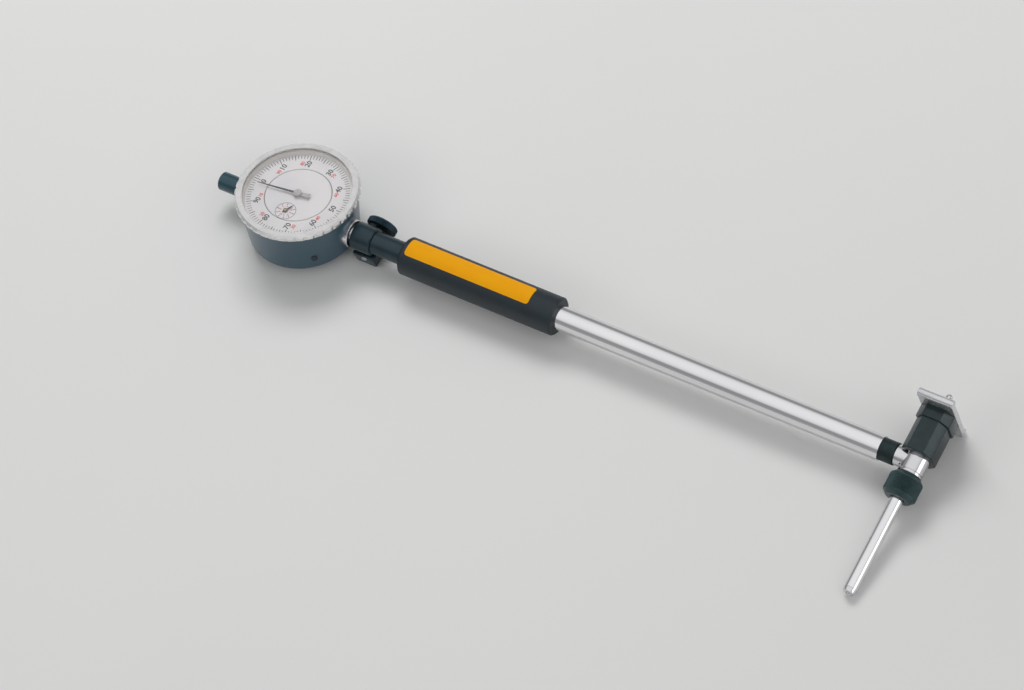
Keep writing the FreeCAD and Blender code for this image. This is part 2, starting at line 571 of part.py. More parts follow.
def rod_anvil():
    """Exchangeable measuring rod, held by its collar under the knurled nut."""
    ball = Part.makeSphere(ROD_BALL_R, V(HEAD_X, ROD_BALL_R - ROD_TIP, 0))
    bar = lathe([(0, -ROD_END), (ROD_END_R, -ROD_END), (ROD_R, -ROD_EDGE), (ROD_R, NUT_SEAT),
                 (ROD_COLLAR_R, NUT_SEAT), (ROD_COLLAR_R, COLLAR_TOP), (ROD_R, COLLAR_TOP),
                 (ROD_R, ROD_INNER_END), (0, ROD_INNER_END)], "y", HEAD_AT)
    keep("rod_anvil", bar.cut(ball), "head")
    keep("rod_anvil_ball", ball, "head")
    bore = SPIGOT_R + RUN
    nut = lathe([(ROD_R + AIR, NUT_LOW), (NUT_R - NUT_BEVEL, NUT_LOW), (NUT_R, NUT_LOW + NUT_BEVEL),
                 (NUT_R, NUT_TOP - NUT_BEVEL), (NUT_R - NUT_BEVEL, NUT_TOP), (bore, NUT_TOP),
                 (bore, NUT_SEAT), (ROD_R + AIR, NUT_SEAT)], "y", HEAD_AT)
    keep("lock_nut", nut, "head")


def bridge():
    """Sprung centring bridge: a grooved carriage on the sleeve and a plate with rounded lips."""
    carriage = block((HEAD_X - CARRIAGE_X, CARRIAGE_LOW, -CARRIAGE_W),
                     (HEAD_X + CARRIAGE_X, BRIDGE_LOW, CARRIAGE_W))
    carriage = fillet_along_u(carriage, CARRIAGE_ROUND)
    out_x, out_w = CARRIAGE_X + COLLAR_OUT, CARRIAGE_W + COLLAR_OUT
    collar_low = BRIDGE_LOW - COLLAR_LONG
    collar = block((HEAD_X - out_x, collar_low, -out_w), (HEAD_X + out_x, BRIDGE_LOW, out_w))
    for side in (-1, 1):
        face = side * CARRIAGE_W
        low, high = sorted((face, face - side * FACE_GROOVE_DEEP))
        groove = block((HEAD_X - FACE_GROOVE / 2, CARRIAGE_LOW, low),
                       (HEAD_X + FACE_GROOVE / 2, collar_low, high))
        carriage = carriage.cut(groove)
    carriage = carriage.fuse(fillet_along_u(collar, CARRIAGE_ROUND + COLLAR_OUT))
    carriage = carriage.cut(round_bar(HEAD_R + RUN, CARRIAGE_LOW, BRIDGE_LOW, "y", HEAD_AT))
    notch = HEAD_NECK_R + AIR
    carriage = carriage.cut(block((HEAD_X - out_x, CARRIAGE_LOW, -notch),
                                  (HEAD_X, HEAD_NECK_R + BRIDGE_TRAVEL + AIR, notch)))
    slot = STOP_PIN_R + RUN
    carriage = carriage.cut(block((HEAD_X - slot, STOP_PIN_U - slot, 0),
                                  (HEAD_X + slot, STOP_PIN_U + BRIDGE_TRAVEL + slot, CARRIAGE_W)))
    top = BRIDGE_LOW + BRIDGE_THICK
    plate = block((HEAD_X - BRIDGE_X, BRIDGE_LOW, LIP_R - BRIDGE_HALF),
                  (HEAD_X + BRIDGE_X, top, BRIDGE_HALF - LIP_R))
    screws = []
    for side in (-1, 1):
        lip = round_bar(LIP_R, -BRIDGE_X, BRIDGE_X, "x", V(HEAD_X, LIP_U, side * (BRIDGE_HALF - LIP_R)))
        plate = plate.fuse(lip)
        at = V(HEAD_X, 0, side * BRIDGE_SCREW_W)
        screw = round_bar(BRIDGE_SCREW_R, top - BRIDGE_SCREW_LONG, top, "y", at)
        screw = screw.fuse(round_bar(BRIDGE_SCREW_HEAD, top - 1.2, top, "y", at))
        screws.append(screw)
    screws = Part.makeCompound(screws)
    plate = plate.cut(round_bar(ANVIL_R + AIR, BRIDGE_LOW, top, "y", HEAD_AT))
    keep("bridge_plate", plate.cut(screws), "head")
    keep("bridge_carriage", carriage.cut(screws), "head")
    keep("bridge_screws", screws, "head")
    stop_pin = round_bar(STOP_PIN_R, ANVIL_R + 1, STOP_PIN_OUT, "z", V(HEAD_X, STOP_PIN_U, 0))
    keep("bridge_stop_pin", stop_pin, "head")
    coils = spring(BRIDGE_SPRING_R, BRIDGE_SPRING_WIRE, HEAD_SHOULDER, BRIDGE_LOW, BRIDGE_SPRING_TURNS,
                   "y", HEAD_AT)
    keep("bridge_spring", coils, "head")


def lay_down():
    """Put the whole gauge on the plane, centred over the origin."""
    everything = Part.makeCompound(list(pieces.values())).optimalBoundingBox(True, False)
    move = V(-everything.Center.x, -everything.Center.y, SHAFT_HEIGHT)
    for shape in pieces.values():
        shape.translate(move)


keep("indicator_case", indicator_case(), "dial")
case_cover()
keep("case_side_screw", case_side_screw(), "dial")
dial()
movement()
hands()
plunger()
keep("clamp_neck", clamp_neck(), "head")
clamp_screw()
grip()
shaft()
keep("head_body", head_body(), "head")
crank()
moving_anvil()
rod_anvil()
bridge()
lay_down()

os.makedirs("parts", exist_ok=True)
for name, piece in pieces.items():
    piece.exportStep(f"parts/{name}.step")
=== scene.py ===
"""Dial bore gauge lying on a pale table: finishes, printing, knurls and screws over the CAD frame."""
import json
import math

import bmesh
import bpy
from mathutils import Matrix, Vector


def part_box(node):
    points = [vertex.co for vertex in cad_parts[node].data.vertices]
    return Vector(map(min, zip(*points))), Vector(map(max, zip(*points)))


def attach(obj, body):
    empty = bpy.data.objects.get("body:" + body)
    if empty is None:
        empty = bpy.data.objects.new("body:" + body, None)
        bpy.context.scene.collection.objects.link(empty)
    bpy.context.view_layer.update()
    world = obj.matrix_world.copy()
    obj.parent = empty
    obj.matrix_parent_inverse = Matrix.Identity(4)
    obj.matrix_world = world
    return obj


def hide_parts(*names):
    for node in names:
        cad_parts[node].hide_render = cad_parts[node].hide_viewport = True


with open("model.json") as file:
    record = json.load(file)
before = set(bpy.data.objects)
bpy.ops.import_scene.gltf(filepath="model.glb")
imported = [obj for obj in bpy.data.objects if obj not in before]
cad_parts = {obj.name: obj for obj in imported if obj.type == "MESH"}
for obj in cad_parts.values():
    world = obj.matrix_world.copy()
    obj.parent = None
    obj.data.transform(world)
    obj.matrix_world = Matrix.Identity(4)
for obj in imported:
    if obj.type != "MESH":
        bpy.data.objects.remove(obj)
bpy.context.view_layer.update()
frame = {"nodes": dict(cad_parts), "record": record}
nodes = frame["nodes"]
joints = {joint["name"]: joint for joint in frame["record"]["behaviour"]["joints"]}


# ---- The gauge's three straight lines --------------------------------------
# The shaft lies along x. The dial faces up from the end of it and the measuring
# head crosses the other end, each leaned a few degrees by the way the gauge rests.
def place_along(origin, up):
    """Frame whose x is the shaft's and whose z is the given direction."""
    z = Vector(up).normalized()
    y = z.cross(Vector((1, 0, 0)))
    axes = Matrix(((1, 0, 0), y, z)).transposed().to_4x4()
    return Matrix.Translation(Vector(origin)) @ axes


tube_low, tube_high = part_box("shaft_tube")
SHAFT = Vector((0, (tube_low.y + tube_high.y) / 2, (tube_low.z + tube_high.z) / 2))
ON_DIAL = place_along(joints["bezel_turn"]["pos_m"], joints["bezel_turn"]["axis"])
measuring = Vector(joints["rod_nut_turn"]["axis"])
head_at = Vector((joints["rod_nut_turn"]["pos_m"][0], SHAFT.y, SHAFT.z))
# In this frame z runs along the measuring line, from the rod to the moving anvil.
ON_HEAD = place_along(head_at, measuring)


# ---- Camera, table and lamps -----------------------------------------------
# A long lens looks down on the gauge from beyond its head, turned a little. The
# table is one pale sheet, with soft lamps and a bright card standing round it.
def shown(name, data):
    """New object in the scene, holding this data."""
    piece = bpy.data.objects.new(name, data)
    bpy.context.collection.objects.link(piece)
    return piece


def camera_over_the_gauge():
    azimuth, elevation, roll = math.radians(44.629), math.radians(56.148), math.radians(16.975)
    aim, distance = Vector((-0.01469, -0.00559, 0.0132)), 1.87395
    back = Vector((math.sin(azimuth) * math.cos(elevation), -math.cos(azimuth) * math.cos(elevation),
                   math.sin(elevation)))
    level = Vector((0, 0, 1)).cross(back).normalized()
    upright = back.cross(level)
    right = level * math.cos(roll) - upright * math.sin(roll)
    up = back.cross(right)
    data = bpy.data.cameras.new("camera")
    data.lens, data.sensor_width, data.clip_end = 148.54, 36.0, 20.0
    camera = shown("camera", data)
    camera.matrix_world = (Matrix.Translation(aim + back * distance)
                           @ Matrix((right, up, back)).transposed().to_4x4())
    bpy.context.scene.camera = camera


camera_over_the_gauge()


def colour(code):
    """Linear colour of a six-figure web colour."""
    parts = [int(code[i:i + 2], 16) / 255 for i in (0, 2, 4)]
    return [part / 12.92 if part <= 0.04045 else ((part + 0.055) / 1.055) ** 2.4 for part in parts] + [1.0]


def link(tree, source, target):
    tree.links.new(source, target)


def maths(tree, work, first, second=0.0):
    """Math node; each operand is a socket or a number."""
    node = tree.nodes.new("ShaderNodeMath")
    node.operation = work
    for socket, value in zip(node.inputs, (first, second)):
        if isinstance(value, (int, float)):
            socket.default_value = value
        else:
            link(tree, value, socket)
    return node.outputs[0]


def mixed(tree, share, first, second):
    """Mix Shader node; share is the part that the second shader has."""
    node = tree.nodes.new("ShaderNodeMixShader")
    for socket, source in zip(node.inputs, (share, first, second)):
        link(tree, source, socket)
    return node.outputs["Shader"]


def relieved(tree, height, size, lift):
    """Put a fine relief on the material; size is the relief's own, in metres."""
    relief = tree.nodes.new("ShaderNodeBump")
    relief.inputs["Strength"].default_value = lift
    relief.inputs["Distance"].default_value = size
    link(tree, height, relief.inputs["Height"])
    link(tree, relief.outputs["Normal"], tree.nodes["Principled BSDF"].inputs["Normal"])


def surface(name, base, other, rough, grain, metallic=0.0, bump=0.0, stretch=(1, 1, 1), lift=0.3,
            **sockets):
    """Material with two tones in a grain, uneven gloss and a fine relief.

    grain is the size of the tone patches in metres, stretch draws them out, and
    lift is how far the fine relief stands, as a share of its own size.
    """
    material = bpy.data.materials.new(name)
    material.use_nodes = True
    tree = material.node_tree
    shader = tree.nodes["Principled BSDF"]
    shader.inputs["Metallic"].default_value = metallic
    for socket, value in sockets.items():
        shader.inputs[socket.replace("_", " ").title().replace("Ior", "IOR")].default_value = value
    place = tree.nodes.new("ShaderNodeTexCoord")
    mapping = tree.nodes.new("ShaderNodeMapping")
    mapping.inputs["Scale"].default_value = stretch
    link(tree, place.outputs["Object"], mapping.inputs["Vector"])
    patches = tree.nodes.new("ShaderNodeTexNoise")
    patches.inputs["Scale"].default_value = 1 / grain
    patches.inputs["Detail"].default_value = 5
    link(tree, mapping.outputs["Vector"], patches.inputs["Vector"])
    tones = tree.nodes.new("ShaderNodeValToRGB")
    tones.color_ramp.elements[0].position, tones.color_ramp.elements[1].position = 0.35, 0.65
    tones.color_ramp.elements[0].color, tones.color_ramp.elements[1].color = colour(base), colour(other)
    link(tree, patches.outputs["Fac"], tones.inputs["Fac"])
    link(tree, tones.outputs["Color"], shader.inputs["Base Color"])
    gloss = tree.nodes.new("ShaderNodeMapRange")
    gloss.inputs["To Min"].default_value, gloss.inputs["To Max"].default_value = rough
    link(tree, patches.outputs["Fac"], gloss.inputs["Value"])
    link(tree, gloss.outputs["Result"], shader.inputs["Roughness"])
    if bump:
        fine = tree.nodes.new("ShaderNodeTexNoise")
        fine.inputs["Scale"].default_value = 1 / bump
        fine.inputs["Detail"].default_value = 3
        link(tree, mapping.outputs["Vector"], fine.inputs["Vector"])
        relieved(tree, fine.outputs["Fac"], bump, lift)
    return material


def pale_table():
    """One pale sheet under the gauge, large enough for every view."""
    mesh = bpy.data.meshes.new("table")
    wide, low = 6.0, -0.0001
    mesh.from_pydata([(-wide, -wide, low), (wide, -wide, low), (wide, wide, low), (-wide, wide, low)], [],
                     [(0, 1, 2, 3)])
    table = shown("table", mesh)
    mesh.materials.append(surface("table_paper", "F4F4F3", "F7F7F6", (0.85, 0.95), 0.4,
                                  specular_ior_level=0.2))


pale_table()


def softbox(name, place, watts, wide, high, card=False):
    """Rectangular lamp that faces the gauge, or a bright card that only gloss shows."""
    data = bpy.data.lights.new(name, "AREA")
    data.shape, data.size, data.size_y, data.energy = "RECTANGLE", wide, high, watts
    lamp = shown(name, data)
    place = Vector(place)
    lamp.matrix_world = Matrix.Translation(place) @ place.to_track_quat("Z", "Y").to_matrix().to_4x4()
    lamp.visible_glossy, lamp.visible_diffuse, lamp.visible_transmission = card, not card, False


softbox("key_lamp", (-0.55, 0.75, 1.25), watts=9.4, wide=0.9, high=0.6)
softbox("fill_lamp", (0.95, -0.15, 0.95), watts=1.6, wide=0.5, high=0.9)
softbox("front_lamp", (-0.65, -0.95, 0.8), watts=1.8, wide=0.9, high=0.4)
softbox("side_card", (1.3, 0.3, 0.28), watts=3.6, wide=0.9, high=0.8, card=True)


def pale_world():
    """Even light from all round, white behind the gauge.

    Metal sees the wide overhead screen of a studio and the dimmer room below it.
    Through the crystal the white shows only to a ray that hasn't yet met the dial.
    """
    world = bpy.data.worlds.new("studio")
    bpy.context.scene.world = world
    world.use_nodes = True
    tree = world.node_tree
    tree.nodes.clear()
    out = tree.nodes.new("ShaderNodeOutputWorld")
    rays = tree.nodes.new("ShaderNodeLightPath")
    way = tree.nodes.new("ShaderNodeTexCoord")
    parts = tree.nodes.new("ShaderNodeSeparateXYZ")
    link(tree, way.outputs["Generated"], parts.inputs["Vector"])
    room = tree.nodes.new("ShaderNodeValToRGB")
    room.color_ramp.elements[0].position, room.color_ramp.elements[1].position = 0.0, 0.9
    room.color_ramp.elements[0].color = (0.55, 0.55, 0.56, 1)
    room.color_ramp.elements[1].color = (0.95, 0.95, 0.95, 1)
    for height, level in ((0.12, 0.34), (0.5, 0.3), (0.68, 0.8)):
        room.color_ramp.elements.new(height).color = (level, level, level * 1.02, 1)
    link(tree, parts.outputs["Z"], room.inputs["Fac"])
    shades = []
    EVEN_LIGHT = 0.33
    for tone, strength in (((1, 1, 1, 1), EVEN_LIGHT), (None, 1.0), ((1, 1, 1, 1), 1.0)):
        shade = tree.nodes.new("ShaderNodeBackground")
        shade.inputs["Strength"].default_value = strength
        if tone:
            shade.inputs["Color"].default_value = tone
        else:
            link(tree, room.outputs["Color"], shade.inputs["Color"])
        shades.append(shade.outputs["Background"])
    even, metal, white = shades
    straight = maths(tree, "LESS_THAN", rays.outputs["Diffuse Depth"], 0.5)
    through = maths(tree, "MULTIPLY", rays.outputs["Is Transmission Ray"], straight)
    clear_rays = maths(tree, "MAXIMUM", rays.outputs["Is Camera Ray"], through)
    room_light = mixed(tree, rays.outputs["Is Glossy Ray"], even, metal)
    link(tree, mixed(tree, clear_rays, room_light, white), out.inputs["Surface"])


pale_world()
bpy.context.scene.view_settings.view_transform = "Standard"


def finish_nodes(material, *names):
    """Give the CAD pieces of these names one finish."""
    for name in names:
        for slot in nodes[name].material_slots:
            slot.material = material


# ---- Case and back cover ---------------------------------------------------
# The case is a die-cast cup, blasted and painted blue-grey, with turned bosses
# for the stem and the cap. The cover is let into its back with four screws.
case_paint = surface("case_paint", "365464", "3C5A69", (0.32, 0.42), 0.03, bump=0.0004, lift=0.12,
                     coat_weight=0.35, coat_roughness=0.12, specular_ior_level=0.5)
finish_nodes(case_paint, "indicator_case", "case_cover")


# ---- Slotted screws --------------------------------------------------------
# Small steel cheese-head screws hold the cover, the case's side and the bridge
# plate. Each head is turned, with a slot milled across it.
def new_tree(name, **inputs):
    """Geometry Nodes tree with named inputs; returns the tree and its ends."""
    tree = bpy.data.node_groups.new(name, "GeometryNodeTree")
    tree.is_modifier = True
    tree.interface.new_socket("Geometry", in_out="OUTPUT", socket_type="NodeSocketGeometry")
    for label, value in inputs.items():
        kind = "NodeSocketInt" if isinstance(value, int) else "NodeSocketFloat"
        tree.interface.new_socket(label, in_out="INPUT", socket_type=kind).default_value = value
    return tree, tree.nodes.new("NodeGroupInput"), tree.nodes.new("NodeGroupOutput")


def vector(tree, x, y, z):
    """Combine XYZ node; each part is a socket or a number."""
    node = tree.nodes.new("ShaderNodeCombineXYZ")
    for socket, value in zip(node.inputs, (x, y, z)):
        if isinstance(value, (int, float)):
            socket.default_value = value
        else:
            link(tree, value, socket)
    return node.outputs[0]


def round_axis(tree, radius, angle, height):
    """Point at this radius and angle round z, at this height."""
    return vector(tree, maths(tree, "MULTIPLY", radius, maths(tree, "COSINE", angle)),
                  maths(tree, "MULTIPLY", radius, maths(tree, "SINE", angle)), height)


def instances(tree, end, count, position, shape, turn, scale, material):
    """Put the shape on each point, realize the copies and finish them."""
    points = tree.nodes.new("GeometryNodePoints")
    link(tree, count, points.inputs["Count"])
    link(tree, position, points.inputs["Position"])
    copies = tree.nodes.new("GeometryNodeInstanceOnPoints")
    link(tree, points.outputs["Points"], copies.inputs["Points"])
    link(tree, shape, copies.inputs["Instance"])
    euler = tree.nodes.new("FunctionNodeEulerToRotation")
    link(tree, turn, euler.inputs["Euler"])
    link(tree, euler.outputs["Rotation"], copies.inputs["Rotation"])
    link(tree, scale, copies.inputs["Scale"])
    real = tree.nodes.new("GeometryNodeRealizeInstances")
    link(tree, copies.outputs["Instances"], real.inputs["Geometry"])
    coat = tree.nodes.new("GeometryNodeSetMaterial")
    coat.inputs["Material"].default_value = material
    link(tree, real.outputs["Geometry"], coat.inputs["Geometry"])
    link(tree, coat.outputs["Geometry"], end.inputs["Geometry"])


def plain_mesh(piece):
    """Mesh of an object as its modifiers leave it."""
    return bpy.data.meshes.new_from_object(piece.evaluated_get(bpy.context.evaluated_depsgraph_get()))


def grown(name, tree, place, **values):
    """Plain mesh object of what the tree makes with these inputs, at its place."""
    piece = shown(name, bpy.data.meshes.new(name))
    modifier = piece.modifiers.new("shape", "NODES")
    modifier.node_group = tree
    for item in tree.interface.items_tree:
        if item.in_out == "INPUT" and item.name in values:
            modifier[item.identifier] = values[item.name]
    made = plain_mesh(piece)
    piece.modifiers.clear()
    piece.data = made
    made.transform(place)
    return piece


def screw_tree(material):
    """Ring of slotted heads, each with its slot at its own angle."""
    tree, start, end = new_tree("slotted_screws", Count=4, Ring=0.019, Head=0.0019, Height=0.0008,
                                Slot=0.0005, First=math.pi / 4)
    head = tree.nodes.new("GeometryNodeMeshCylinder")
    head.inputs["Vertices"].default_value = 40
    link(tree, start.outputs["Head"], head.inputs["Radius"])
    link(tree, start.outputs["Height"], head.inputs["Depth"])
    bar = tree.nodes.new("GeometryNodeMeshCube")
    across = maths(tree, "MULTIPLY", start.outputs["Head"], 2.4)
    link(tree, vector(tree, across, start.outputs["Slot"], start.outputs["Height"]), bar.inputs["Size"])
    sunk = tree.nodes.new("GeometryNodeTransform")
    link(tree, bar.outputs["Mesh"], sunk.inputs["Geometry"])
    link(tree, vector(tree, 0.0, 0.0, maths(tree, "MULTIPLY", start.outputs["Height"], 0.6)),
         sunk.inputs["Translation"])
    cut = tree.nodes.new("GeometryNodeMeshBoolean")
    cut.operation = "DIFFERENCE"
    link(tree, head.outputs["Mesh"], cut.inputs["Mesh 1"])
    link(tree, sunk.outputs["Geometry"], cut.inputs["Mesh 2"])
    index = tree.nodes.new("GeometryNodeInputIndex").outputs[0]
    step = maths(tree, "DIVIDE", maths(tree, "MULTIPLY", index, math.tau), start.outputs["Count"])
    angle = maths(tree, "ADD", step, start.outputs["First"])
    place = round_axis(tree, start.outputs["Ring"], angle, 0.0)
    turn = vector(tree, 0.0, 0.0, maths(tree, "MULTIPLY", index, 1.9))
    instances(tree, end, start.outputs["Count"], place, cut.outputs["Mesh"], turn,
              vector(tree, 1.0, 1.0, 1.0), material)
    return tree


screw_steel = surface("screw_steel", "C4C6C8", "A9ABAE", (0.2, 0.34), 0.0008, metallic=1.0, bump=0.0001)
screws = screw_tree(screw_steel)
# The dial's face stands this far above the shaft's axis, in millimetres as the rest.
DIAL_UP = 11.8
COVER_SEAT = -10.0 - DIAL_UP
FLIP = Matrix.Rotation(math.pi, 4, "X")
cover_screws = grown("cover_screw_heads", screws,
                     ON_DIAL @ Matrix.Translation((0, 0, (COVER_SEAT + 0.4) / 1000)) @ FLIP,
                     Count=4, Ring=0.0192, Head=0.00188, Height=0.0008, Slot=0.0005, First=math.pi / 4)
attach(cover_screws, "indicator")
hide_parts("cover_screws")
SIDE_ANGLE, SIDE_R, SIDE_Z = math.radians(-45), 26.5, -2.5 - DIAL_UP
blacked_screw = surface("blacked_screw", "50565A", "3A4044", (0.25, 0.4), 0.0008, metallic=0.7)
side_screw = grown("case_side_screw_head", screw_tree(blacked_screw),
                   ON_DIAL @ Matrix.Rotation(SIDE_ANGLE, 4, "Z")
                   @ Matrix.Translation((SIDE_R / 1000, 0, SIDE_Z / 1000))
                   @ Matrix.Rotation(math.pi / 2, 4, "Y"),
                   Count=1, Ring=0.0, Head=0.0015, Height=0.0006, Slot=0.0004, First=0.0)
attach(side_screw, "indicator")
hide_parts("case_side_screw")


# ---- Bezel and crystal -----------------------------------------------------
# The bezel is turned brass, satin chrome plated, with a scalloped rim for the
# fingers. It holds the acrylic crystal and turns together with the scale ring.
def turned_metal(name, light, dark, place, rough, ring, lift, metallic):
    """Plated metal with fine rings left by the lathe round one axis."""
    material = surface(name, light, dark, rough, 0.004, metallic=metallic)
    tree = material.node_tree
    mapping = next(node for node in tree.nodes if node.type == "MAPPING")
    mapping.vector_type = "TEXTURE"
    mapping.inputs["Location"].default_value = place.to_translation()
    mapping.inputs["Rotation"].default_value = place.to_euler()
    flat = tree.nodes.new("ShaderNodeVectorMath")
    flat.operation = "MULTIPLY"
    flat.inputs[1].default_value = (1, 1, 0)
    link(tree, mapping.outputs["Vector"], flat.inputs[0])
    radius = tree.nodes.new("ShaderNodeVectorMath")
    radius.operation = "LENGTH"
    link(tree, flat.outputs["Vector"], radius.inputs[0])
    rings = tree.nodes.new("ShaderNodeTexNoise")
    rings.noise_dimensions = "1D"
    rings.inputs["Scale"].default_value = 1 / ring
    link(tree, radius.outputs["Value"], rings.inputs["W"])
    relieved(tree, rings.outputs["Fac"], ring, lift)
    return material


satin_bezel = turned_metal("satin_bezel", "ECEBEA", "E0DFDE", ON_DIAL, (0.2, 0.3), ring=0.00018, lift=0.08,
                           metallic=0.7)
finish_nodes(satin_bezel, "bezel")


def clear_acrylic():
    """Clear plastic that lets the lamps' light through to the dial."""
    material = surface("clear_acrylic", "FFFFFF", "FBFCFC", (0.0, 0.03), 0.02, transmission_weight=1.0,
                       ior=1.49)
    tree = material.node_tree
    rays = tree.nodes.new("ShaderNodeLightPath")
    through = tree.nodes.new("ShaderNodeBsdfTransparent")
    plastic = tree.nodes["Principled BSDF"].outputs["BSDF"]
    both = mixed(tree, rays.outputs["Is Shadow Ray"], plastic, through.outputs["BSDF"])
    link(tree, both, tree.nodes["Material Output"].inputs["Surface"])
    return material


finish_nodes(clear_acrylic(), "crystal")


# ---- Dial flange -----------------------------------------------------------
# A cream plastic ring between dial and crystal keeps the two apart. It is a
# press fit in the bezel and turns with it.
def built(build, name, place, material, crease=None):
    """Mesh object of what was built, at its place.

    Edges sharper than the crease, in degrees, stay sharp. Without one all faces are flat.
    """
    bmesh.ops.recalc_face_normals(build, faces=build.faces)
    mesh = bpy.data.meshes.new(name)
    build.to_mesh(mesh)
    build.free()
    mesh.transform(place)
    mesh.materials.append(material)
    if crease:
        mesh.shade_smooth()
        mesh.set_sharp_from_angle(angle=math.radians(crease))
    return shown(name, mesh)


def turned(name, profile, place, material, count=96):
    """Closed solid of revolution from (radius, height) points in millimetres."""
    build = bmesh.new()
    rows = []
    for radius, height in profile:
        if radius == 0:
            rows.append([build.verts.new((0, 0, height / 1000))])
            continue
        rows.append([build.verts.new((radius / 1000 * math.cos(math.tau * n / count),
                                      radius / 1000 * math.sin(math.tau * n / count), height / 1000))
                     for n in range(count)])
    for low, high in zip(rows, rows[1:] + rows[:1]):
        for n in range(count):
            m = n + 1
            corners = [low[n % len(low)], low[m % len(low)], high[m % len(high)], high[n % len(high)]]
            # On the axis two corners are one point, and the face is a triangle.
            corners = list(dict.fromkeys(corners))
            if len(corners) > 2:
                build.faces.new(corners)
    return built(build, name, place, material, crease=30)


flange_cream = surface("flange_cream", "E2DCD7", "DDD7D2", (0.35, 0.45), 0.01)
FLANGE_R, FLANGE_LOW, FLANGE_TOP = 25.95, 0.03, 2.0
flange = turned("dial_flange", [(FLANGE_R, FLANGE_LOW), (24.6, FLANGE_LOW), (24.5, 0.12), (25.35, FLANGE_TOP),
                                (FLANGE_R, FLANGE_TOP)], ON_DIAL, flange_cream, count=160)
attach(flange, "bezel_set")


# ---- Scale ring ------------------------------------------------------------
# The outer ring of the dial is enamelled sheet, printed with a hundred divisions,
# black figures and small red figures that count the other way.
dial_enamel = surface("dial_enamel", "DFDCDD", "DBD8DA", (0.34, 0.44), 0.02, bump=0.0006, lift=0.02)
finish_nodes(dial_enamel, "dial_scale_ring")
print_black = surface("print_black", "2A2C30", "34373B", (0.4, 0.55), 0.0006)
print_grey = surface("print_grey", "97989A", "A0A1A3", (0.4, 0.55), 0.0006)
print_red = surface("print_red", "D5474C", "DC565A", (0.4, 0.55), 0.0006)
INK = 0.00004


def tick_tree(material):
    """Radial strokes round a circle, longer at every fifth and tenth."""
    tree, start, end = new_tree("dial_strokes", Count=100, Outer=0.0239, Long=0.0031, Medium=0.0027,
                                Short=0.0021, Width=0.00024, Ink=INK)
    stroke = tree.nodes.new("GeometryNodeMeshCube")
    stroke.inputs["Size"].default_value = (1, 1, 1)
    index = tree.nodes.new("GeometryNodeInputIndex").outputs[0]
    tenth = maths(tree, "LESS_THAN", maths(tree, "MODULO", index, 10.0), 0.5)
    fifth = maths(tree, "LESS_THAN", maths(tree, "MODULO", index, 5.0), 0.5)
    short, medium = start.outputs["Short"], start.outputs["Medium"]
    longer = maths(tree, "MULTIPLY", fifth, maths(tree, "SUBTRACT", medium, short))
    longest = maths(tree, "MULTIPLY", tenth, maths(tree, "SUBTRACT", start.outputs["Long"], medium))
    length = maths(tree, "ADD", short, maths(tree, "ADD", longer, longest))
    spread = maths(tree, "ADD", 1.0, maths(tree, "MULTIPLY", fifth, 0.35))
    wider = maths(tree, "MULTIPLY", start.outputs["Width"], spread)
    angle = maths(tree, "DIVIDE", maths(tree, "MULTIPLY", index, math.tau), start.outputs["Count"])
    radius = maths(tree, "SUBTRACT", start.outputs["Outer"], maths(tree, "MULTIPLY", length, 0.5))
    place = round_axis(tree, radius, angle, maths(tree, "MULTIPLY", start.outputs["Ink"], 0.5))
    instances(tree, end, start.outputs["Count"], place, stroke.outputs["Mesh"],
              vector(tree, 0.0, 0.0, angle), vector(tree, length, wider, start.outputs["Ink"]), material)
    return tree


def joined(name, pieces):
    """One mesh object from several."""
    build = bmesh.new()
    materials = []
    for piece in pieces:
        mesh = piece.data
        shift = len(materials)
        first = len(build.faces)
        build.from_mesh(mesh)
        build.faces.ensure_lookup_table()
        for face in build.faces[first:]:
            face.material_index += shift
        materials += list(mesh.materials)
        bpy.data.objects.remove(piece)
    whole = bpy.data.meshes.new(name)
    build.to_mesh(whole)
    build.free()
    for material in materials:
        whole.materials.append(material)
    return shown(name, whole)


def printed(figure, height, x, y, place, material, bold=0.00007):
    """Figure in ink, centred on a point of a flat face, reading along its y."""
    text = bpy.data.curves.new("ink", "FONT")
    text.body, text.size, text.extrude, text.offset = figure, height, INK / 2, bold
    text.align_x, text.align_y, text.resolution_u = "CENTER", "CENTER", 3
    curve = shown("ink", text)
    mesh = plain_mesh(curve)
    bpy.data.objects.remove(curve)
    mesh.transform(place @ Matrix.Translation((x, y, INK / 2)) @ Matrix.Rotation(math.pi / 2, 4, "Z"))
    mesh.materials.clear()
    mesh.materials.append(material)
    return shown("ink", mesh)


def scale_printing():
    """Divisions, black figures and small red figures of the scale ring."""
    FIGURES_R, FIGURE, SMALL_FIGURE = 0.0188, 0.0036, 0.0024
    marks = [grown("divisions", tick_tree(print_black), ON_DIAL)]
    # How far each small red figure stands from its black one, in millimetres.
    beside = {10: (-0.2, -3.3), 20: (-2.7, -0.9), 30: (2.7, -0.9), 40: (0.6, -3.3),
              60: (0.6, 3.3), 70: (2.7, 0.9), 80: (-2.7, 0.9), 90: (-0.2, 3.3)}
    for reading in range(0, 100, 10):
        angle = math.radians(180 - 3.6 * reading)
        x, y = FIGURES_R * math.cos(angle), FIGURES_R * math.sin(angle)
        marks.append(printed(str(reading), FIGURE, x, y, ON_DIAL, print_black))
        if reading in beside:
            dx, dy = beside[reading]
            marks.append(printed(str(100 - reading), SMALL_FIGURE, x + dx / 1000, y + dy / 1000, ON_DIAL,
                                 print_red))
    piece = joined("scale_printing", marks)
    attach(piece, "bezel_set")


scale_printing()


# ---- Middle of the dial and the turn counter -------------------------------
# The fixed middle of the dial is enamelled sheet like the ring. It is printed with
# the counter for whole turns and a fine circle round its edge.
finish_nodes(dial_enamel, "dial_centre")


